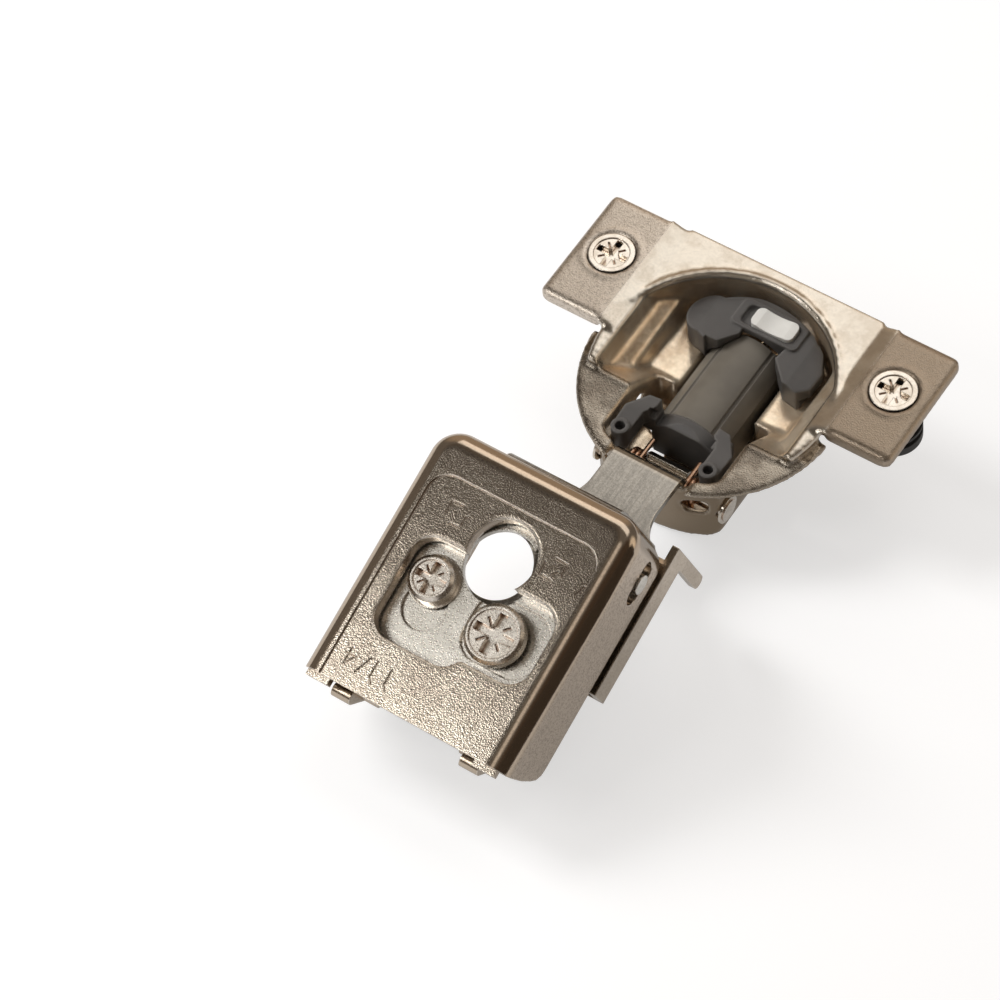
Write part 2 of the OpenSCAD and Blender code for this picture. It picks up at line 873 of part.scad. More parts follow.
module damper_bracket() {
    arm_low = bracket_top - 3.4;
    color([0.2, 0.2, 0.21])
    lying()
    difference() {
        union() {
            // dark cap on the front end of the body
            along_y(body_front - 2.2, body_front - 0.02)
                difference() {
                    body_section(0);
                    translate([-body_w - 1, body_low - 1]) square([2 * body_w + 2, 1.4]);
                }
            both_sides() {
                translate([0, 0, arm_low]) linear_extrude(height = bracket_top - arm_low - 0.5) bracket_arm();
                translate([boss[0], boss[1], arm_low]) cylinder(r = boss_r, h = bracket_top - arm_low);
                // joint between the arm and the cap
                block([neck_w - 0.8, body_front - 2.2, body_top - 3.6], [boss[0] - 0.3, body_front - 0.02, arm_low + 0.8]);
                // foot under the boss
                translate([boss[0], boss[1], arm_low - 1.2]) cylinder(r1 = boss_r * 0.7, r2 = boss_r, h = 1.2);
            }
        }
        both_sides()
            translate([boss[0], boss[1], bracket_top - 1.6]) cylinder(r = boss_r * 0.55, h = 3);
        // cap slopes down towards the arm
        translate([0, body_front - 1.1, body_top])
            rotate([28, 0, 0])
                block([-5.3, -6, 0], [5.3, 0, 5]);
        // hollow towards the arm
        translate([0, pivot_y, pivot_z])
            rotate([0, 90, 0])
                cylinder(r = 3.6, h = 2 * neck_w - 1, center = true);
    }
}

// arm

module arm_profile() {
    turn = 90 - housing_tilt;
    rise = neck_z + lower_bend;
    lower_c = [leg_y + lower_bend, lower_z];
    upper_c = [leg_y - upper_bend, arm_z - upper_bend];
    rear_c = to_housing([neck_rear - neck_bend, neck_z - neck_bend]);
    strip([arm_front, arm_z], [upper_c[0], arm_z], arm_t, 0.8);
    bend(upper_c, upper_bend, arm_t, 0, 90);
    strip([leg_y, upper_c[1]], [leg_y, lower_c[1]], arm_t, 0.8);
    bend(lower_c, lower_bend, arm_t, 180, 180 + turn);
    strip(lower_c + lower_bend * [cos(180 + turn), sin(180 + turn)], to_housing([neck_rear - neck_bend, neck_z]), arm_t, 0.8);
    bend(rear_c, neck_bend, arm_t, -housing_tilt, 90 - housing_tilt);
    strip(to_housing([neck_rear, neck_z - neck_bend]), to_housing([pivot_y - eye_c, neck_z - 2.8]), arm_t, 0.9);
    strip(to_housing([pivot_y - eye_c, neck_z - 2.8]), to_housing([pivot_y - eye_c, pivot_z + 1]), arm_t, 0.9);
    translate(to_housing([pivot_y, pivot_z]))
        difference() {
            circle(r = eye_c + arm_h);
            circle(r = pivot_r + run_fit);
            rotate(-housing_tilt) translate([-0.1, eye_c - arm_h - 0.2]) square([1, 3]);
        }
}

// height of the lower bend centre, so that the neck runs on level with the flange
line_p = to_housing([-25, neck_z]);
lower_z = line_p[1] + (lower_bend - (leg_y + lower_bend - line_p[0]) * sin(housing_tilt)) / cos(housing_tilt);

// region kept by the outline of the arm, seen from above the flange
module arm_mask() {
    difference() {
        translate([-arm_w, -80]) square([2 * arm_w, 75]);
        for (s = [-1, 1]) {
            translate([s * leg_x, neck_flare]) circle(r = neck_curve);
            translate([s > 0 ? neck_w : -arm_w - 1, neck_flare]) square([arm_w + 1 - neck_w, 40]);
        }
    }
}

module arm() {
    color([0.6, 0.57, 0.5])
    difference() {
        intersection() {
            in_housing() along_x(-arm_w, arm_w) arm_profile();
            lying() translate([0, 0, -40]) linear_extrude(height = 90) arm_mask();
        }
        // the part inside the cup is narrower
        lying() both_sides() block([eye_w, pivot_y - 7, -20], [arm_w + 1, pivot_y + 8, neck_z - 1.7]);
        // holes of the arm plate
        in_housing() {
            translate([-1.7, -6.7, arm_z - 2]) cylinder(r = 4.7, h = 4);
            // long hole for the depth screw
            translate([0, 0, arm_z - 2])
                linear_extrude(height = 4)
                    round_rect(
                        depth_screw_at - [adjust_shank_r + height_travel + slide_gap, adjust_shank_r + depth_travel + slide_gap],
                        depth_screw_at + [adjust_shank_r + height_travel + slide_gap, adjust_shank_r + slide_gap],
                        adjust_shank_r + 0.2
                    );
            // hole worked by the cam of the height screw
            translate([0, 0, arm_z - 2])
                linear_extrude(height = 4)
                    round_rect(
                        height_screw_at - [cam_r + 0.18, cam_r + 0.2],
                        height_screw_at + [cam_r + 0.18, cam_throw + cam_r + 0.2],
                        0.8
                    );
        }
    }
}

// housing

// rounded block of the cover, drawn inward by g
module cover_form(g) {
    w = cover_w - g;
    rear = cover_rear - g;
    front = cover_front - 2 - 2 * g;
    r = cover_roll - g;
    c = corner_r - g;
    low = -cover_wall - 2 * g;
    // walls
    translate([0, 0, low])
        linear_extrude(height = -g - r - low)
            round_rect([-w, front - 10], [w, rear], c);
    // flat top
    translate([0, 0, -g - r])
        linear_extrude(height = r)
            round_rect([-w + r, front - 10], [w - r, rear - r], c - r);
    // rolls along the sides and the rear
    for (s = [-1, 1]) {
        along_y(front - 2, rear - c) translate([s * (w - r), -g - r]) circle(r = r);
        // corner between both rolls
        translate([s * (w - c), rear - c, -g - r])
            rotate_extrude()
                difference() {
                    union() {
                        translate([0, -r]) square([c - r, 2 * r]);
                        translate([c - r, 0]) circle(r = r);
                    }
                    translate([-2 * r, -r - 1]) square([2 * r, 2 * r + 2]);
                }
    }
    along_x(-w + c, w - c) translate([rear - r, -g - r]) circle(r = r);
}

// parts of the side view that are cut away
module cover_cuts() {
    // the front of the side walls runs back to the lower corner
    polygon([
        [cover_front - 1, -1.8], [cover_front, -1.8], [-29.8, -4.2], [-29.4, -7], [-28.7, -10],
        [-28.1, -11.8], [-27.2, -12.7], [-25.8, -13], [-25.8, -14], [cover_front - 1, -14]
    ]);
    polygon([
        [cover_rear + 1, -8], [cover_rear, -8], [cover_rear - 0.6, -11], [cover_rear - 1.6, -12.6],
        [cover_rear - 3, -13], [cover_rear, -15], [cover_rear + 1, -14]
    ]);
}

module lobes(g) {
    translate(eyehole) circle(r = eyehole_r + g);
    round_rect([left_lobe[0] - g, left_lobe[1] - g], [left_lobe[2] + g, left_lobe[3] + g], lobe_r + g);
    round_rect([right_lobe[0] - g, right_lobe[1] - g], [right_lobe[2] + g, right_lobe[3] + g], lobe_r + g);
    // waist between the lobes
    polygon([
        [left_lobe[0] + lobe_r, left_lobe[1] - g], [0.7, left_lobe[1] + 0.6 - g],
        [3.4, right_lobe[1] + 0.1 - g], [right_lobe[0] + 4, -15], [-5, -15]
    ]);
}

module panel_outline() {
    round_rect([-panel_w, cover_front - 8], [panel_w, 0], 3);
}

// double arrow, cut as a fine groove
module arrows() {
    translate([0, 0, -0.15])
        linear_extrude(height = 1)
            difference() {
                arrow_outline(1);
                arrow_outline(0.78);
            }
}

module arrow_outline(k) {
    head = [1.5 * k, 0.35 + 0.3 * k];
    polygon([
        [0, 2.05 * k + 0.02], head, [0.55 * k, head[1]], [0.55 * k, -head[1]], [head[0], -head[1]],
        [0, -2.05 * k - 0.02], [-head[0], -head[1]], [-0.55 * k, -head[1]], [-0.55 * k, head[1]], [-head[0], head[1]]
    ]);
}

// the size mark, strokes of an upright one
module stroke_one() {
    block([-0.1, 0, -0.15], [0.1, 2.4, 1]);
    translate([0, 2.4, 0]) rotate(-50) block([-0.9, -0.2, -0.15], [0, 0, 1]);
}

module size_mark() {
    stroke_one();
    translate([2.2, 0, 0]) stroke_one();
    translate([3.1, 0, 0]) rotate(-22) block([0, 0, -0.15], [0.2, 3, 1]);
    translate([6.2, 0, 0]) {
        block([-0.1, 0, -0.15], [0.1, 2.4, 1]);
        block([-1.2, 0.8, -0.15], [0.5, 1, 1]);
        translate([0, 2.4, 0]) rotate(53) block([-2, -0.2, -0.15], [0, 0, 1]);
    }
}

module housing_cover() {
    color([0.6, 0.57, 0.5])
    in_housing()
    difference() {
        union() {
            difference() {
                intersection() {
                    cover_form(0);
                    block([-20, cover_front, -20], [20, 20, 1]);
                }
                cover_form(cover_t);
            }
            intersection() {
                cover_form(0.02);
                union() {
                    // material of the recessed panel and the turned-in edges
                    translate([0, 0, -cover_t - panel_d])
                        linear_extrude(height = panel_d + 0.1)
                            round_rect([-panel_w - 0.4, cover_front], [panel_w + 0.4, 0.4], 3.4);
                    translate([0, 0, -cover_t - lobe_lip])
                        linear_extrude(height = lobe_lip + 0.3)
                            lobes(0.7);
                }
            }
            // lugs folded down from the front edge
            both_sides() block([11, cover_front - 0.9, -3.9], [14.3, cover_front + 0.1, -0.5]);
        }
        translate([0, 0, -panel_d]) linear_extrude(height = 2) panel_outline();
        translate([0, 0, -6]) linear_extrude(height = 8) lobes(0);
        along_x(-20, 20) cover_cuts();
        // opening under the rear edge for the arm
        block([-cover_w + cover_t + 1.2, cover_rear - 5, -20], [cover_w - cover_t - 1.2, cover_rear + 1, -rear_wall]);
        // guide slots of the side walls
        along_x(-20, 20)
            round_rect([-0.3 - slot_l / 2, slot_z - slot_w / 2], [-0.3 + slot_l / 2, slot_z + slot_w / 2], slot_w / 2 - step);
        // marks
        translate([-7.4, -4.3, -panel_d]) rotate(45) arrows();
        translate([7.6, -4.7, -panel_d]) rotate(-45) arrows();
        translate([12, -5.6, -panel_d]) rotate(-20) block([-0.1, -0.9, -0.15], [0.1, 0.9, 1]);
        translate([-4.3, -25.2, -panel_d]) rotate(180) size_mark();
    }
}

module rail_section() {
    // side wall of the base channel, foot and upturned rail
    translate([base_w - base_t, mount_z]) square([base_t, web_z - mount_z]);
    translate([base_w - base_t, mount_z]) square([rail_w - base_w + base_t, base_t]);
    translate([rail_w - base_t, mount_z]) square([base_t, rail_h]);
    translate([rail_w - 2 * base_t + 0.1, mount_z + rail_h - 0.9]) square([base_t + 0.4, 0.9]);
}

module fixing_base() {
    ear = cover_w - cover_t;
    color([0.58, 0.54, 0.47])
    in_housing()
    difference() {
        union() {
            both_sides() along_y(rail_front, base_rear) rail_section();
            // side walls and feet in front of the rails
            both_sides() along_y(base_front, rail_front + 0.1)
                translate([base_w - base_t, mount_z]) square([base_t, web_z - mount_z]);
            both_sides() block([base_w - 3.2, base_front, mount_z], [base_w, base_front + 8, mount_z + base_t]);
            // web, with ears that hold the cover
            block([-base_w, -19.5, web_z - base_t], [base_w, base_rear - 4, web_z]);
            block([-ear, -15, web_z - base_t], [ear, -8, web_z]);
            // locating tabs, cut from the rails and turned down in line with them
            both_sides() {
                along_x(rail_w - base_t, rail_w) {
                    translate([base_rear - 0.1, mount_z]) square([tab_w + tab_y - base_rear + 0.1, rail_h]);
                    translate([tab_y, tab_end + tab_w / 2]) square([tab_w, mount_z + rail_h - tab_end - tab_w / 2]);
                    translate([tab_y + tab_w / 2, tab_end + tab_w / 2]) circle(r = tab_w / 2);
                }
            }
        }
        // openings of the web
        translate([-3, -6.3, web_z - 2]) cylinder(r = 5.2, h = 4);
        translate([depth_screw_at[0], depth_screw_at[1], web_z - 2]) cylinder(r = adjust_shank_r + run_fit, h = 4);
        pin_x(latch_at, latch_r, -20, 20);
    }
}

module adjusting_plate() {
    hole = adjust_shank_r + slide_gap;
    color([0.66, 0.65, 0.6])
    in_housing()
    difference() {
        union() {
            translate([0, 0, plate_z - plate_t])
                linear_extrude(height = plate_t)
                    difference() {
                        round_rect([-plate_w, -25.2], [plate_w, 1.2], 2);
                        translate([0.3, -7.3]) circle(r = 4.9);
                        // corner cut away beside the round lobe
                        translate([3.4, -7]) square([4, 9]);
                    }
            // ears that carry the guide bosses
            both_sides() {
                block([plate_w - 1, -2.8, slot_z - 1.6], [plate_w, 1, plate_z - 0.1]);
                pin_x([-0.3, slot_z - 0.1], guide_r, plate_w - 0.5, cover_w + 0.3);
            }
        }
        // long hole for the depth screw
        translate([0, 0, plate_z - 3])
            linear_extrude(height = 6)
                round_rect(depth_screw_at - [hole, hole + depth_travel], depth_screw_at + [hole, hole], hole - step);
        // pressed round pocket in front of its head
        translate([depth_screw_at[0] + 0.5, depth_screw_at[1] - 3.5, plate_z - 0.55]) cylinder(r = 3.1, h = 1);
        // pocket and bearing of the height screw
        translate([0, 0, plate_z - 0.5])
            linear_extrude(height = 1)
                round_rect(height_screw_at - [4.6, 4.1], height_screw_at + [6.2, 5], 3);
        translate([height_screw_at[0], height_screw_at[1], plate_z - 3]) cylinder(r = adjust_shank_r + run_fit, h = 6);
    }
}

module adjust_screw(head_r, shank) {
    difference() {
        union() {
            translate([0, 0, -adjust_head_l]) cylinder(r = head_r, h = adjust_head_l - 0.45);
            translate([0, 0, -0.46]) cylinder(r1 = head_r, r2 = head_r - 0.45, h = 0.46);
            translate([0, 0, -shank]) cylinder(r = adjust_shank_r, h = shank - 0.5);
        }
        cross_recess(head_r * 0.7, 1.3);
        // dished face
        translate([0, 0, -0.22]) cylinder(r = head_r - 0.75, h = 1);
    }
}

module depth_screw() {
    color([0.72, 0.71, 0.68])
    in_housing()
        translate([depth_screw_at[0], depth_screw_at[1], adjust_top])
            adjust_screw(depth_head_r, -adjust_top - web_z + base_t + 0.4 + 2 * adjust_top);
}

module depth_washer() {
    top = adjust_top - adjust_head_l - 0.02;
    color([0.55, 0.52, 0.46])
    in_housing()
        translate([depth_screw_at[0], depth_screw_at[1], plate_z + 0.05])
            difference() {
                cylinder(r = depth_head_r + 0.45, h = top - plate_z - 0.05);
                translate([0, 0, -1]) cylinder(r = adjust_shank_r + run_fit, h = 3);
            }
}

module height_screw() {
    color([0.72, 0.71, 0.68])
    in_housing()
        translate([height_screw_at[0], height_screw_at[1], adjust_top])
            union() {
                adjust_screw(height_head_r, adjust_top - arm_z + 1.2);
                // cam
                translate([0, cam_throw, arm_z - adjust_top - 0.8]) cylinder(r = cam_r, h = 1.6);
            }
}

module height_collar() {
    top = plate_z - plate_t;
    color([0.55, 0.52, 0.46])
    in_housing()
    translate([height_screw_at[0], height_screw_at[1], top - 0.9])
        difference() {
            cylinder(r = 2.8, h = 0.9);
            translate([0, 0, -1]) cylinder(r = adjust_shank_r + run_fit, h = 3);
        }
}

// latch

// knee of the latch, where its arms become hooks
knee = [latch_at[0] - latch_reach, latch_at[1] + latch_reach];

module latch_section() {
    difference() {
        union() {
            translate(latch_at) circle(r = latch_r + 0.7 * latch_t);
            strip(latch_at, knee, latch_t);
            strip(latch_at, latch_at + latch_t * [1.6, -1.1], latch_t);
        }
        translate(latch_at) circle(r = latch_r + run_fit);
    }
}

module latch() {
    color([0.6, 0.57, 0.5])
    in_housing()
    both_sides() {
        along_x(latch_w - 3, latch_w) latch_section();
        along_x(hook_x[0], hook_x[1]) strip(knee, knee + latch_t * [-0.8, 1.8], latch_t);
        along_x(-0.1, latch_w - 2.9)
            strip(latch_at + 0.75 * (knee - latch_at), knee, latch_t * 0.55);
    }
}

module latch_pin() {
    color([0.72, 0.7, 0.66])
    in_housing() {
        pin_x(latch_at, latch_r, -base_w, base_w);
        both_sides() pin_x(latch_at, latch_r + 0.5, base_w, base_w + 0.5);
    }
}

module latch_spring() {
    color([0.74, 0.72, 0.68])
    in_housing()
        translate([-2.2, latch_at[0], latch_at[1]])
            wire(coil_path(latch_r + 0.75, 1, 4.25, 90, 4.4, 4, 24), 0.45);
}

cup();
main_pin();
spring_left();
spring_right();
wing_screw_left();
wing_screw_right();
wing_dowel_left();
wing_dowel_right();
damper_saddle();
damper_switch();
damper_body();
damper_bracket();
damper_rod();
arm();
housing_cover();
fixing_base();
adjusting_plate();
depth_screw();
depth_washer();
height_screw();
height_collar();
latch();
latch_pin();
latch_spring();
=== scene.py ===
import math
import bmesh
import bpy
import numpy as np
from mathutils import Matrix, Vector


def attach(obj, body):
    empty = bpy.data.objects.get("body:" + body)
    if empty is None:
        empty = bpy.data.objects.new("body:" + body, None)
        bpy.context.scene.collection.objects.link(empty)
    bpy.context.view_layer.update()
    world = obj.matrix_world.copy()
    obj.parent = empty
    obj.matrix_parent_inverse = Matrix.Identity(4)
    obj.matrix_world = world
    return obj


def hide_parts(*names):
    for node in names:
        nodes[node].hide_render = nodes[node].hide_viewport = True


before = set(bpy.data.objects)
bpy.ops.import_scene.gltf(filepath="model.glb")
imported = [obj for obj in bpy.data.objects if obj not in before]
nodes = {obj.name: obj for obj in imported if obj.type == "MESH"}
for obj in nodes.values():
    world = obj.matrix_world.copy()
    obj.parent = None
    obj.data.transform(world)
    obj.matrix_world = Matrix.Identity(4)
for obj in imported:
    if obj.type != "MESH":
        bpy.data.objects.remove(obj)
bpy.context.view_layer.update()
print("frame loaded:", len(nodes), "nodes")


# the cup's centre on the flange face and the rear of the cover's panel, tilts in degrees
cupPlace = {"origin": (0, 0.0267, 0.017393), "tilt": 13.65}
housingPlace = {"origin": (0, -0.020944, 0.030520), "tilt": 32.75}


# unit directions of a tilted place: along it, and up from it
def placeAxes(where):
    tilt = math.radians(where["tilt"])
    return (0, math.cos(tilt), math.sin(tilt)), (0, -math.sin(tilt), math.cos(tilt))


# camera, fitted to the flange and the housing
cameraLook = {
    "place": (0.18066, -0.32327, 0.39412),
    "right": (0.82624, 0.56120, 0.04886),
    "up": (-0.43141, 0.57460, 0.69550),
    "back": (0.36224, -0.59573, 0.71686),
    "lens": 145.34,
    "sensor": 36,
    "clip": (0.01, 20),
}


def makeCamera(look):
    data = bpy.data.cameras.new("photoCamera")
    data.lens = look["lens"]
    data.sensor_width = look["sensor"]
    data.clip_start, data.clip_end = look["clip"]
    cam = bpy.data.objects.new("photoCamera", data)
    bpy.context.scene.collection.objects.link(cam)
    turn = Matrix((look["right"], look["up"], look["back"])).transposed().to_4x4()
    cam.matrix_world = Matrix.Translation(look["place"]) @ turn
    bpy.context.scene.camera = cam


# small helpers for shader trees
class Tree:
    def __init__(self, tree):
        self.tree = tree

    def add(self, kind, **settings):
        node = self.tree.nodes.new(kind)
        for key, value in settings.items():
            setattr(node, key, value)
        return node

    def link(self, a, b):
        self.tree.links.new(a, b)

    # a number or a colour is set on the socket itself, an output is linked to it
    def feed(self, socket, value):
        if isinstance(value, (int, float)):
            socket.default_value = value
        elif isinstance(value, tuple):
            socket.default_value = (*value, 1)
        else:
            self.link(value, socket)

    def math(self, kind, *values):
        node = self.add("ShaderNodeMath", operation=kind)
        for socket, value in zip(node.inputs, values):
            self.feed(socket, value)
        return node.outputs[0]

    def plus(self, a, b):
        return self.math("ADD", a, b)

    def minus(self, a, b):
        return self.math("SUBTRACT", a, b)

    def times(self, a, b):
        return self.math("MULTIPLY", a, b)

    def greater(self, a, b):
        return self.math("MAXIMUM", a, b)

    # from 1 down to 0 where value goes from 0 up to 1
    def opposite(self, value):
        return self.minus(1.0, value)

    # value between 0 and 1 lifted, so that 0 becomes least and 1 stays
    def lifted(self, value, least):
        return self.plus(least, self.times(value, 1 - least))

    # smooth step from low to high while value crosses the two ends of span
    def remap(self, value, span, low=0, high=1):
        node = self.add("ShaderNodeMapRange", interpolation_type="SMOOTHSTEP")
        node.inputs["From Min"].default_value = span[0]
        node.inputs["From Max"].default_value = span[1]
        node.inputs["To Min"].default_value = low
        node.inputs["To Max"].default_value = high
        self.link(value, node.inputs["Value"])
        return node.outputs["Result"]

    # colour a where fac is 0, colour b where it is 1
    def blend(self, fac, a, b):
        node = self.add("ShaderNodeMix", data_type="RGBA")
        self.link(fac, node.inputs[0])
        self.feed(node.inputs[6], a)
        self.feed(node.inputs[7], b)
        return node.outputs[2]

    # cosine of the angle between a vector and a fixed direction
    def along(self, vector, direction):
        node = self.add("ShaderNodeVectorMath", operation="DOT_PRODUCT")
        node.inputs[1].default_value = direction
        self.link(vector, node.inputs[0])
        return node.outputs["Value"]


def newMaterial(name):
    material = bpy.data.materials.new(name)
    material.use_nodes = True
    return material


# a tree with what a surface needs: its shader, its place and its normal in object space
class Surface(Tree):
    def __init__(self, name):
        self.material = newMaterial(name)
        super().__init__(self.material.node_tree)
        self.shader = self.tree.nodes["Principled BSDF"]
        place = self.add("ShaderNodeTexCoord")
        self.coords = place.outputs["Object"]
        self.normal = place.outputs["Normal"]

    def give(self, socket, value):
        self.feed(self.shader.inputs[socket], value)

    # noise whose blobs are about size metres across
    def noise(self, size, detail=3, rough=0.6, stretch=None):
        tex = self.add("ShaderNodeTexNoise")
        tex.inputs["Scale"].default_value = 1 / size
        tex.inputs["Detail"].default_value = detail
        tex.inputs["Roughness"].default_value = rough
        vector = self.coords
        if stretch:
            place = self.add("ShaderNodeMapping")
            place.inputs["Scale"].default_value = stretch
            self.link(self.coords, place.inputs["Vector"])
            vector = place.outputs[0]
        self.link(vector, tex.inputs["Vector"])
        return tex.outputs["Fac"]

    # sand: one random value per cell of size metres, and the distance to the cell's centre
    def sand(self, size):
        tex = self.add("ShaderNodeTexVoronoi")
        tex.inputs["Scale"].default_value = 1 / size
        self.link(self.coords, tex.inputs["Vector"])
        parts = self.add("ShaderNodeSeparateXYZ")
        self.link(tex.outputs["Color"], parts.inputs[0])
        return parts.outputs["X"], tex.outputs["Distance"]

    # coordinates turned back by the tilt of a place and measured from its origin
    def space(self, where):
        place = self.add("ShaderNodeMapping", vector_type="TEXTURE")
        place.inputs["Location"].default_value = where["origin"]
        place.inputs["Rotation"].default_value = (math.radians(where["tilt"]), 0, 0)
        self.link(self.coords, place.inputs["Vector"])
        parts = self.add("ShaderNodeSeparateXYZ")
        self.link(place.outputs[0], parts.inputs[0])
        return parts.outputs["X"], parts.outputs["Y"], parts.outputs["Z"]

    # normal of the surface with its edges rounded off by radius
    def round(self, radius, samples=4):
        node = self.add("ShaderNodeBevel", samples=samples)
        self.feed(node.inputs["Radius"], radius)
        return node.outputs["Normal"]

    # 1 where the rounded normal leaves the true one, 0 on flats
    def edge(self, rounded, turned=(0.999, 0.9)):
        dot = self.add("ShaderNodeVectorMath", operation="DOT_PRODUCT")
        self.link(rounded, dot.inputs[0])
        self.link(self.add("ShaderNodeNewGeometry").outputs["True Normal"], dot.inputs[1])
        return self.remap(dot.outputs["Value"], turned)

    # 1 where the surface faces along one of the directions or against it, 0 on bends between them
    def flats(self, directions, turned=(0.975, 0.995)):
        best = None
        for direction in directions:
            facing = self.math("ABSOLUTE", self.along(self.normal, direction))
            best = facing if best is None else self.greater(best, facing)
        return self.remap(best, turned)

    # 1 where the surface faces away from the upright axis of a place, or down
    def outward(self, x, y, where, away=(0.001, 0.003), under=(-0.3, -0.6)):
        along, up = placeAxes(where)
        across = self.times(x, self.along(self.normal, (1, 0, 0)))
        away = self.remap(self.plus(across, self.times(y, self.along(self.normal, along))), away)
        return self.greater(away, self.remap(self.along(self.normal, up), under))

    # 1 inside a rectangle from the corner low to the corner high, fading over soft metres along its rim
    def patch(self, x, y, low, high, soft):
        inside = []
        for value, start, end in ((x, low[0], high[0]), (y, low[1], high[1])):
            half = (end - start) / 2
            way = self.math("ABSOLUTE", self.minus(value, (start + end) / 2))
            inside.append(self.remap(way, (half - soft, half), 1, 0))
        return self.times(*inside)

    # painted shade: up to depth in corners and recesses that open less than size metres, 0 on open faces
    def recessShade(self, size, depth, closed=(0.4, 0.85)):
        node = self.add("ShaderNodeAmbientOcclusion", samples=8, only_local=True)
        node.inputs["Distance"].default_value = size
        return self.remap(node.outputs["AO"], closed, depth, 0)

    def bump(self, height, strength, distance, normal):
        node = self.add("ShaderNodeBump")
        node.inputs["Strength"].default_value = strength
        node.inputs["Distance"].default_value = distance
        self.link(height, node.inputs["Height"])
        self.link(normal, node.inputs["Normal"])
        return node.outputs["Normal"]


# plated sheet: tones, then how the speckles, the satin, the wear and the painted shade in corners show
housingAlong, housingUp = placeAxes(housingPlace)
sheetLook = {
    "dark": (0.55, 0.49, 0.415), "light": (0.66, 0.60, 0.515), "speck": (0.26, 0.21, 0.165),
    "worn": (0.90, 0.85, 0.77), "recessShade": (0.24, 0.155, 0.095),
    "flats": [housingUp, housingAlong, (1, 0, 0)],
    "cloudSize": 0.006, "cloudStep": (0.35, 0.65), "waves": 0.04, "waveDepth": 0.0002,
    "speckSize": 0.00018, "speckStep": (0.45, 0.9), "speckDepth": 0.6, "bendSpecks": 0.15,
    "roughness": 0.13, "satinStep": (0.2, 0.8), "satinSpread": 0.04, "flatSatin": 0.07,
    "grain": 0.5, "grainDepth": 0.000028, "bendGrain": 0.1,
    "rounding": 0.00022, "wear": 0.7, "edgePolish": 0.12,
    "recessShadeSize": 0.0006, "recessShadeDepth": 0.6,
}
baseLook = dict(
    sheetLook, dark=(0.50, 0.42, 0.33), light=(0.60, 0.51, 0.41),
    speckDepth=0.35, roughness=0.16, flatSatin=0.05, grain=0.3,
)
# painted shade: the arm's tones are darker than the rest of the plated sheet
armLook = dict(
    sheetLook, dark=(0.32, 0.30, 0.27), light=(0.40, 0.375, 0.335),
    cloudSize=0.0005, streaks=(1, 0.08, 0.08), waves=0.03, speckDepth=0.2, flatSatin=0.02, grain=0.15,
)
# the cover's rolls and sides get a darker brown tone as painted shade, and its opening has a turned-in rim
# inside the rectangles
coverLook = dict(
    sheetLook, bends=(0.57, 0.47, 0.37), rolling=0.0006, rolledSoft=0.0005,
    rolled=[
        ((-0.0115, -0.0234), (0.0040, -0.0068)),
        ((-0.0040, -0.0214), (0.0129, -0.0082)),
        ((-0.0050, -0.0120), (0.0062, -0.0006)),
    ],
)
plateLook = dict(
    sheetLook, dark=(0.70, 0.67, 0.61), light=(0.84, 0.81, 0.75), speck=(0.45, 0.43, 0.40),
    rounding=0.0002, speckDepth=0.25, roughness=0.26, flatSatin=0.04, grain=0.3, edgePolish=0.05,
)
screwLook = dict(
    sheetLook, dark=(0.74, 0.67, 0.58), light=(0.88, 0.82, 0.74), recessShade=(0.42, 0.28, 0.19),
    rounding=0.00018, cloudSize=0.002, speckDepth=0.15, roughness=0.16, flatSatin=0.03, grain=0.12,
    edgePolish=0.05, recessShadeDepth=0.9,
)
adjusterLook = dict(
    screwLook, dark=(0.86, 0.80, 0.72), light=(0.96, 0.91, 0.84), recessShade=(0.36, 0.22, 0.14),
    speckDepth=0.1, roughness=0.26, recessShadeSize=0.0007,
)
wireLook = dict(
    sheetLook, dark=(0.55, 0.33, 0.22), light=(0.70, 0.45, 0.31), speck=(0.4, 0.24, 0.16),
    worn=(0.78, 0.55, 0.4), rounding=0.0001, cloudSize=0.002, speckDepth=0.2, roughness=0.28,
    flatSatin=0, grain=0.2,
)


# radius of the rounded edges, larger inside the rectangles where a rim is rolled
def edgeRadius(t, look):
    if "rolled" not in look:
        return look["rounding"]
    x, y, _ = t.space(housingPlace)
    rolled = None
    for low, high in look["rolled"]:
        patch = t.patch(x, y, low, high, look["rolledSoft"])
        rolled = patch if rolled is None else t.greater(rolled, patch)
    return t.plus(look["rounding"], t.times(rolled, look["rolling"]))


# plated sheet: speckled satin flats, brighter and smoother worn edges, painted shade in corners and recesses
def nickelSheet(name, look):
    t = Surface(name)
    rounded = t.round(edgeRadius(t, look))
    edge = t.edge(rounded)
    flat = t.flats(look["flats"])
    broad = t.noise(look["cloudSize"], stretch=look.get("streaks"))
    fine, pit = t.sand(look["speckSize"])
    tone = t.blend(t.remap(broad, look["cloudStep"]), look["dark"], look["light"])
    # painted shade: a darker brown tone on the cover's rolls and sides, wherever they don't face straight up
    # or down
    if "bends" in look:
        tone = t.blend(t.opposite(t.flats([housingUp])), tone, look["bends"])
    specks = t.remap(fine, look["speckStep"], 0, look["speckDepth"])
    tone = t.blend(t.times(specks, t.lifted(flat, look["bendSpecks"])), tone, look["speck"])
    tone = t.blend(t.times(edge, look["wear"]), tone, look["worn"])
    # painted shade: ambient occlusion darkens corners and recesses to a brown tone
    tone = t.blend(t.recessShade(look["recessShadeSize"], look["recessShadeDepth"]), tone, look["recessShade"])
    low, high = look["roughness"] - look["satinSpread"], look["roughness"] + look["satinSpread"]
    satin = t.remap(fine, look["satinStep"], low, high)
    satin = t.plus(satin, t.times(flat, look["flatSatin"]))
    satin = t.minus(satin, t.times(edge, look["edgePolish"]))
    sand = t.times(t.times(pit, t.lifted(flat, look["bendGrain"])), t.opposite(edge))
    grain = t.bump(sand, look["grain"], look["grainDepth"], rounded)
    t.give("Metallic", 1)
    t.give("Base Color", tone)
    t.give("Roughness", satin)
    t.give("Normal", t.bump(broad, look["waves"], look["waveDepth"], grain))
    return t.material
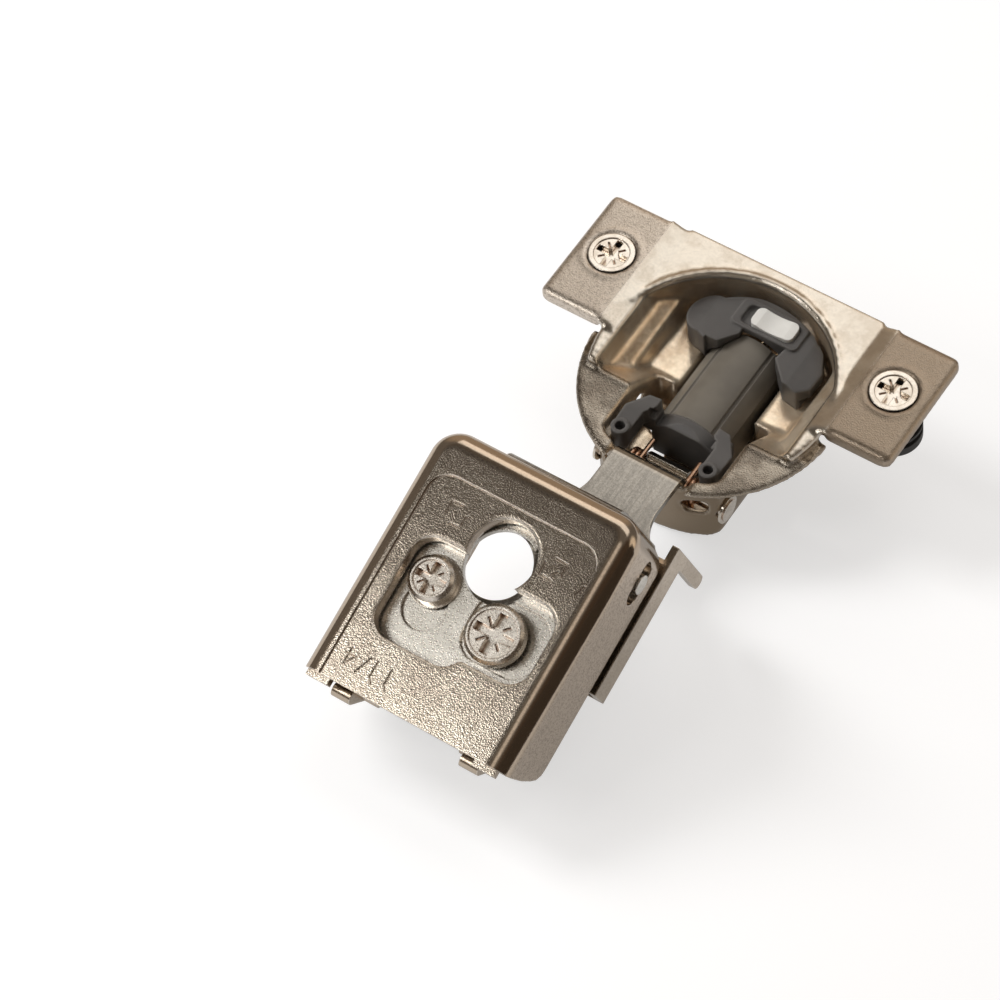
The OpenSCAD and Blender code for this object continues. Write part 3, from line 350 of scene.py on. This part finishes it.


# pressed cup: tones of its regions, where each region starts in cup space, then its finish; the right wing's
# darker tone and the dark brown outside of the drawn walls are painted shade
cupLook = {
    "flangeDark": (0.64, 0.575, 0.49), "flangeLight": (0.74, 0.685, 0.60),
    "wing": (0.80, 0.72, 0.63), "wingShadeFar": (0.43, 0.35, 0.27),
    "deckDark": (0.28, 0.245, 0.205), "deckLight": (0.52, 0.47, 0.40),
    "wallDark": (0.78, 0.62, 0.45), "wallLight": (0.96, 0.82, 0.64), "outerWallShade": (0.30, 0.235, 0.165),
    "speck": (0.30, 0.25, 0.2), "worn": (0.86, 0.80, 0.71),
    "wingStep": (0.0179, 0.0182), "wingShadeAcross": (-0.02, 0.02), "flangeStep": (-0.0009, -0.0004),
    "deckStep": (-0.0020, -0.0016), "deckRear": (-0.0045, -0.0055),
    "cloudSize": 0.004, "cloudStep": (0.38, 0.62), "waves": 0.12, "waveDepth": 0.0002,
    "speckSize": 0.00020, "speckStep": (0.45, 0.9), "speckDepth": 0.5,
    "roughness": 0.17, "satinStep": (0.3, 0.7), "satinSpread": 0.04,
    "wingSatin": 0.19, "deckSatin": 0.10, "wallSatin": 0.05, "innerHaze": 0.25,
    "grain": 0.4, "grainDepth": 0.00005, "leastGrain": 0.1,
    "rounding": 0.00055, "wear": 0.5, "edgePolish": 0.08,
}


# 1 in each region of the cup: wing, deck, drawn walls, and the outside of those walls, with a ramp across
#                              the wings from left to right for their painted shade
def cupRegions(t, look):
    x, y, z = t.space(cupPlace)
    wing = t.remap(t.math("ABSOLUTE", x), look["wingStep"])
    high = t.remap(z, look["flangeStep"])
    deck = t.times(t.remap(z, look["deckStep"]), t.opposite(high))
    deck = t.times(deck, t.remap(y, look["deckRear"]))
    drawn = t.opposite(t.greater(t.greater(high, deck), wing))
    outer = t.times(drawn, t.outward(x, y, cupPlace))
    return wing, t.remap(x, look["wingShadeAcross"]), deck, drawn, outer


# pressed cup: polished flange, satin wings, mottled deck, drawn walls with a warm tone; painted shade
# darkens the right wing and the outside of the walls
def nickelCup(name, look):
    t = Surface(name)
    rounded = t.round(look["rounding"])
    edge = t.edge(rounded)
    wing, across, deck, drawn, outer = cupRegions(t, look)
    sanded = t.greater(wing, deck)
    broad = t.noise(look["cloudSize"])
    fine, pit = t.sand(look["speckSize"])
    cloud = t.remap(broad, look["cloudStep"])
    tone = t.blend(cloud, look["flangeDark"], look["flangeLight"])
    # painted shade: the wings' tone turns darker and browner from left to right
    tone = t.blend(wing, tone, t.blend(across, look["wing"], look["wingShadeFar"]))
    tone = t.blend(deck, tone, t.blend(cloud, look["deckDark"], look["deckLight"]))
    tone = t.blend(drawn, tone, t.blend(cloud, look["wallDark"], look["wallLight"]))
    # painted shade: the outside of the drawn walls is dark brown
    tone = t.blend(outer, tone, look["outerWallShade"])
    specks = t.remap(fine, look["speckStep"], 0, look["speckDepth"])
    tone = t.blend(t.times(specks, sanded), tone, look["speck"])
    tone = t.blend(t.times(edge, look["wear"]), tone, look["worn"])
    satin = t.plus(look["roughness"], t.times(wing, look["wingSatin"]))
    satin = t.plus(satin, t.times(deck, look["deckSatin"]))
    satin = t.plus(satin, t.times(drawn, look["wallSatin"]))
    satin = t.plus(satin, t.remap(fine, look["satinStep"], look["satinSpread"], -look["satinSpread"]))
    satin = t.minus(satin, t.times(edge, look["edgePolish"]))
    sand = t.times(pit, t.plus(look["leastGrain"], sanded))
    grain = t.bump(sand, look["grain"], look["grainDepth"], rounded)
    t.give("Metallic", t.opposite(t.times(t.minus(drawn, outer), look["innerHaze"])))
    t.give("Base Color", tone)
    t.give("Roughness", satin)
    t.give("Normal", t.bump(broad, look["waves"], look["waveDepth"], grain))
    return t.material


# plastics: the damper's cylinder, and what differs on the other mouldings
bodyLook = {
    "dark": (0.138, 0.124, 0.104), "light": (0.170, 0.154, 0.129), "worn": (0.26, 0.25, 0.24),
    "cloudSize": 0.004, "cloudStep": (0.3, 0.7), "roughness": 0.42, "satinSpread": (-0.05, 0.06),
    "grainSize": 0.0002, "grain": 0.3, "grainDepth": 0.00003, "rounding": 0.0002, "wear": 0.4,
}
saddleLook = dict(
    bodyLook, dark=(0.075, 0.072, 0.071), light=(0.098, 0.094, 0.092), rounding=0.0006, roughness=0.44,
)
switchLook = dict(
    bodyLook, dark=(0.70, 0.70, 0.68), light=(0.78, 0.78, 0.76), worn=(0.85, 0.85, 0.84),
    roughness=0.38, grain=0.12,
)
dowelLook = dict(
    bodyLook, dark=(0.018, 0.018, 0.018), light=(0.028, 0.028, 0.028), worn=(0.07, 0.07, 0.07),
    roughness=0.5,
)


# moulded plastic: faint sheen, fine spark-eroded grain, soft edges
def mouldedPlastic(name, look):
    t = Surface(name)
    rounded = t.round(look["rounding"])
    broad = t.noise(look["cloudSize"], detail=2, rough=0.5)
    fine = t.noise(look["grainSize"])
    tone = t.blend(t.remap(broad, look["cloudStep"]), look["dark"], look["light"])
    low, high = (look["roughness"] + spread for spread in look["satinSpread"])
    t.give("Base Color", t.blend(t.times(t.edge(rounded), look["wear"]), tone, look["worn"]))
    t.give("Roughness", t.remap(broad, look["cloudStep"], low, high))
    t.give("Normal", t.bump(fine, look["grain"], look["grainDepth"], rounded))
    return t.material


finishes = {
    "coverNickel": (nickelSheet, coverLook, ["housing_cover"]),
    "armNickel": (nickelSheet, armLook, ["arm"]),
    "baseNickel": (nickelSheet, baseLook, ["fixing_base", "latch"]),
    "cupNickel": (nickelCup, cupLook, ["cup"]),
    "plateZinc": (nickelSheet, plateLook, ["adjusting_plate"]),
    "screwNickel": (nickelSheet, screwLook, [
        "wing_screw_left", "wing_screw_right", "main_pin", "latch_pin",
        "latch_spring", "damper_rod", "depth_washer", "height_collar",
    ]),
    "adjusterNickel": (nickelSheet, adjusterLook, ["depth_screw", "height_screw"]),
    "springWire": (nickelSheet, wireLook, ["spring_left", "spring_right"]),
    "damperPlastic": (mouldedPlastic, bodyLook, ["damper_body"]),
    "saddlePlastic": (mouldedPlastic, saddleLook, ["damper_saddle", "damper_bracket"]),
    "switchPlastic": (mouldedPlastic, switchLook, ["damper_switch"]),
    "dowelPlastic": (mouldedPlastic, dowelLook, ["wing_dowel_left", "wing_dowel_right"]),
}

# drawn sheet: the CAD cup closed, remeshed evenly and smoothed, so that its bends are soft as on a pressing
drawnLook = {
    "merge": 1e-6, "voxel": 0.00028,
    "rounds": 20, "pull": 0.5, "flangeShare": 0.28,
    "bowlRadius": 0.0162, "bowlTop": -0.0002, "fade": 0.0006,
}


# the CAD cup with its doubles merged, cut evenly by a voxel remesh
def makeEvenCup(look):
    rough = bpy.data.meshes.new("drawnCupRough")
    shell = bmesh.new()
    shell.from_mesh(nodes["cup"].data)
    bmesh.ops.remove_doubles(shell, verts=shell.verts, dist=look["merge"])
    shell.to_mesh(rough)
    shell.free()
    obj = bpy.data.objects.new("drawnCup", rough)
    bpy.context.scene.collection.objects.link(obj)
    even = obj.modifiers.new("even", "REMESH")
    even.mode = "VOXEL"
    even.voxel_size = look["voxel"]
    mesh = bpy.data.meshes.new_from_object(obj.evaluated_get(bpy.context.evaluated_depsgraph_get()))
    obj.modifiers.clear()
    obj.data = mesh
    bpy.data.meshes.remove(rough)
    return obj


# how freely a vertex moves: 1 in the bowl, flangeShare on the flange and the wings, fading between them;
# the bowl is where both bowlRadius minus the distance from the axis and the depth below bowlTop are positive
def smoothingShare(place, look):
    along, up = placeAxes(cupPlace)
    fromCentre = place - np.array(cupPlace["origin"])
    inside = look["bowlRadius"] - np.hypot(fromCentre[:, 0], fromCentre @ np.array(along))
    below = look["bowlTop"] - fromCentre @ np.array(up)
    bowl = np.clip(inside / look["fade"], 0, 1) * np.clip(below / look["fade"], 0, 1)
    return look["flangeShare"] + (1 - look["flangeShare"]) * bowl


# each round moves a vertex by pull times its share of the way to the mean of its neighbours
def smoothSheet(mesh, look):
    count = len(mesh.vertices)
    place = np.empty(count * 3)
    mesh.vertices.foreach_get("co", place)
    place = place.reshape(-1, 3)
    ends = np.empty(len(mesh.edges) * 2, dtype=np.int64)
    mesh.edges.foreach_get("vertices", ends)
    a, b = ends.reshape(-1, 2).T
    neighbours = np.bincount(a, minlength=count) + np.bincount(b, minlength=count)
    share = look["pull"] * smoothingShare(place, look)
    for _ in range(look["rounds"]):
        total = np.empty_like(place)
        for axis in range(3):
            value = place[:, axis]
            total[:, axis] = np.bincount(a, value[b], count) + np.bincount(b, value[a], count)
        place += share[:, None] * (total / neighbours[:, None] - place)
    mesh.vertices.foreach_set("co", place.ravel())
    mesh.shade_smooth()
    mesh.update()


def makeDrawnCup(look):
    obj = makeEvenCup(look)
    smoothSheet(obj.data, look)
    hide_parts("cup")
    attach(obj, "cup")
    obj.data.calc_loop_triangles()
    print("drawn cup:", len(obj.data.loop_triangles), "triangles")
    return obj


drawnCup = makeDrawnCup(drawnLook)

for name, (make, look, pieces) in finishes.items():
    material = make(name, look)
    for piece in pieces:
        for slot in nodes[piece].material_slots:
            slot.material = material
    if "cup" in pieces:
        drawnCup.data.materials.append(material)
print("finishes made:", len(finishes))


# flat card of the studio with four corners
def makeCard(name, corners, material):
    mesh = bpy.data.meshes.new(name)
    mesh.from_pydata(corners, [], [(0, 1, 2, 3)])
    mesh.materials.append(material)
    card = bpy.data.objects.new(name, mesh)
    bpy.context.scene.collection.objects.link(card)
    return card


# pale paper that glows for the camera, and less in the mirroring metal
floorLook = {"half": 3.0, "drop": 0.00002, "tone": (0.49, 0.495, 0.51), "glow": 0.60, "mirrored": 0.5}


def floorPaper(look):
    material = newMaterial("floorPaper")
    t = Tree(material.node_tree)
    t.tree.nodes.clear()
    path = t.add("ShaderNodeLightPath")
    mirrored = t.times(path.outputs["Is Glossy Ray"], look["mirrored"])
    seen = t.greater(path.outputs["Is Camera Ray"], mirrored)
    glow = t.add("ShaderNodeEmission")
    t.feed(glow.inputs["Strength"], t.times(seen, look["glow"]))
    paper = t.add("ShaderNodeBsdfDiffuse")
    t.feed(paper.inputs["Color"], look["tone"])
    both = t.add("ShaderNodeAddShader")
    t.link(paper.outputs[0], both.inputs[0])
    t.link(glow.outputs[0], both.inputs[1])
    t.link(both.outputs[0], t.add("ShaderNodeOutputMaterial").inputs["Surface"])
    return material


def makeFloor(look):
    half = look["half"]
    corners = [(-half, -half, 0), (half, -half, 0), (half, half, 0), (-half, half, 0)]
    floor = makeCard("floor", corners, floorPaper(look))
    floor.location.z = -look["drop"]


# dark card that stands on the right, seen only in the mirroring metal
flagLook = {
    "x": 0.058, "front": -0.13, "rear": 0.0, "height": 0.05,
    "tone": (0.05, 0.038, 0.028), "roughness": 0.9,
}


def flagCloth(look):
    material = newMaterial("flagCloth")
    shader = material.node_tree.nodes["Principled BSDF"]
    shader.inputs["Base Color"].default_value = (*look["tone"], 1)
    shader.inputs["Roughness"].default_value = look["roughness"]
    return material


def makeFlag(look):
    x, front, rear, height = (look[key] for key in ("x", "front", "rear", "height"))
    corners = [(x, front, 0), (x, rear, 0), (x, rear, height), (x, front, height)]
    flag = makeCard("flag", corners, flagCloth(look))
    flag.visible_camera = False
    flag.visible_diffuse = False
    flag.visible_shadow = False


# dim surroundings with soft fields: direction, half angle and softness in degrees, colour
worldTone = (0.17, 0.15, 0.13)
softFields = [
    {"aim": (0.97, -0.10, 0.25), "angle": 32, "soft": 12, "tone": (0.075, 0.052, 0.036)},
    {"aim": (-0.41, 0.76, 0.45), "angle": 22, "soft": 20, "tone": (0.42, 0.33, 0.245)},
    {"aim": (0.34, -0.42, 0.84), "angle": 4, "soft": 7, "tone": (0.80, 0.74, 0.67)},
    {"aim": (0.86, 0.42, 0.28), "angle": 11, "soft": 13, "tone": (0.95, 0.82, 0.66)},
    {"aim": (-0.34, -0.30, 0.89), "angle": 16, "soft": 16, "tone": (0.10, 0.085, 0.07)},
]


# each field: smooth step of the cosine between the ray and the field's aim, blended over the tone so far;
# the camera sees white
def makeWorld(tone, fields):
    world = bpy.data.worlds.new("studio")
    bpy.context.scene.world = world
    world.use_nodes = True
    t = Tree(world.node_tree)
    ray = t.add("ShaderNodeTexCoord").outputs["Generated"]
    for field in fields:
        outer, inner = math.radians(field["angle"] + field["soft"]), math.radians(field["angle"])
        near = t.along(ray, Vector(field["aim"]).normalized())
        tone = t.blend(t.remap(near, (math.cos(outer), math.cos(inner))), tone, field["tone"])
    seen = t.add("ShaderNodeLightPath").outputs["Is Camera Ray"]
    t.link(t.blend(seen, tone, (1, 1, 1)), t.tree.nodes["Background"].inputs["Color"])


# a strong lamp far on the left that metal doesn't mirror, and two soft boxes near the hinge that it does
lampLooks = {
    "keyBox": {
        "place": (-0.62, -0.14, 0.60), "aim": (0, 0, 0.01), "size": (0.32, 0.40),
        "power": 5.0, "colour": (1, 0.985, 0.96), "mirrored": False,
    },
    "topBox": {
        "place": (0, 0.21, 0.40), "aim": (0, 0.21, 0), "size": (0.50, 0.24),
        "power": 0.40, "colour": (1, 0.975, 0.94), "mirrored": True,
    },
    "frontBox": {
        "place": (-0.20, -0.275, 0.25), "aim": (-0.20, -0.275, 0), "size": (0.25, 0.17),
        "power": 0.60, "colour": (1, 0.98, 0.95), "mirrored": True,
    },
}


def makeLamp(name, look):
    data = bpy.data.lights.new(name, "AREA")
    data.shape = "RECTANGLE"
    data.size, data.size_y = look["size"]
    data.energy = look["power"]
    data.color = look["colour"]
    lamp = bpy.data.objects.new(name, data)
    lamp.location = look["place"]
    lamp.rotation_mode = "QUATERNION"
    lamp.rotation_quaternion = (Vector(look["aim"]) - Vector(look["place"])).to_track_quat("-Z", "Y")
    lamp.visible_glossy = look["mirrored"]
    bpy.context.scene.collection.objects.link(lamp)


makeCamera(cameraLook)
makeFloor(floorLook)
makeFlag(flagLook)
makeWorld(worldTone, softFields)
for name, look in lampLooks.items():
    makeLamp(name, look)
bpy.context.scene.view_settings.view_transform = "Standard"
print("studio made")
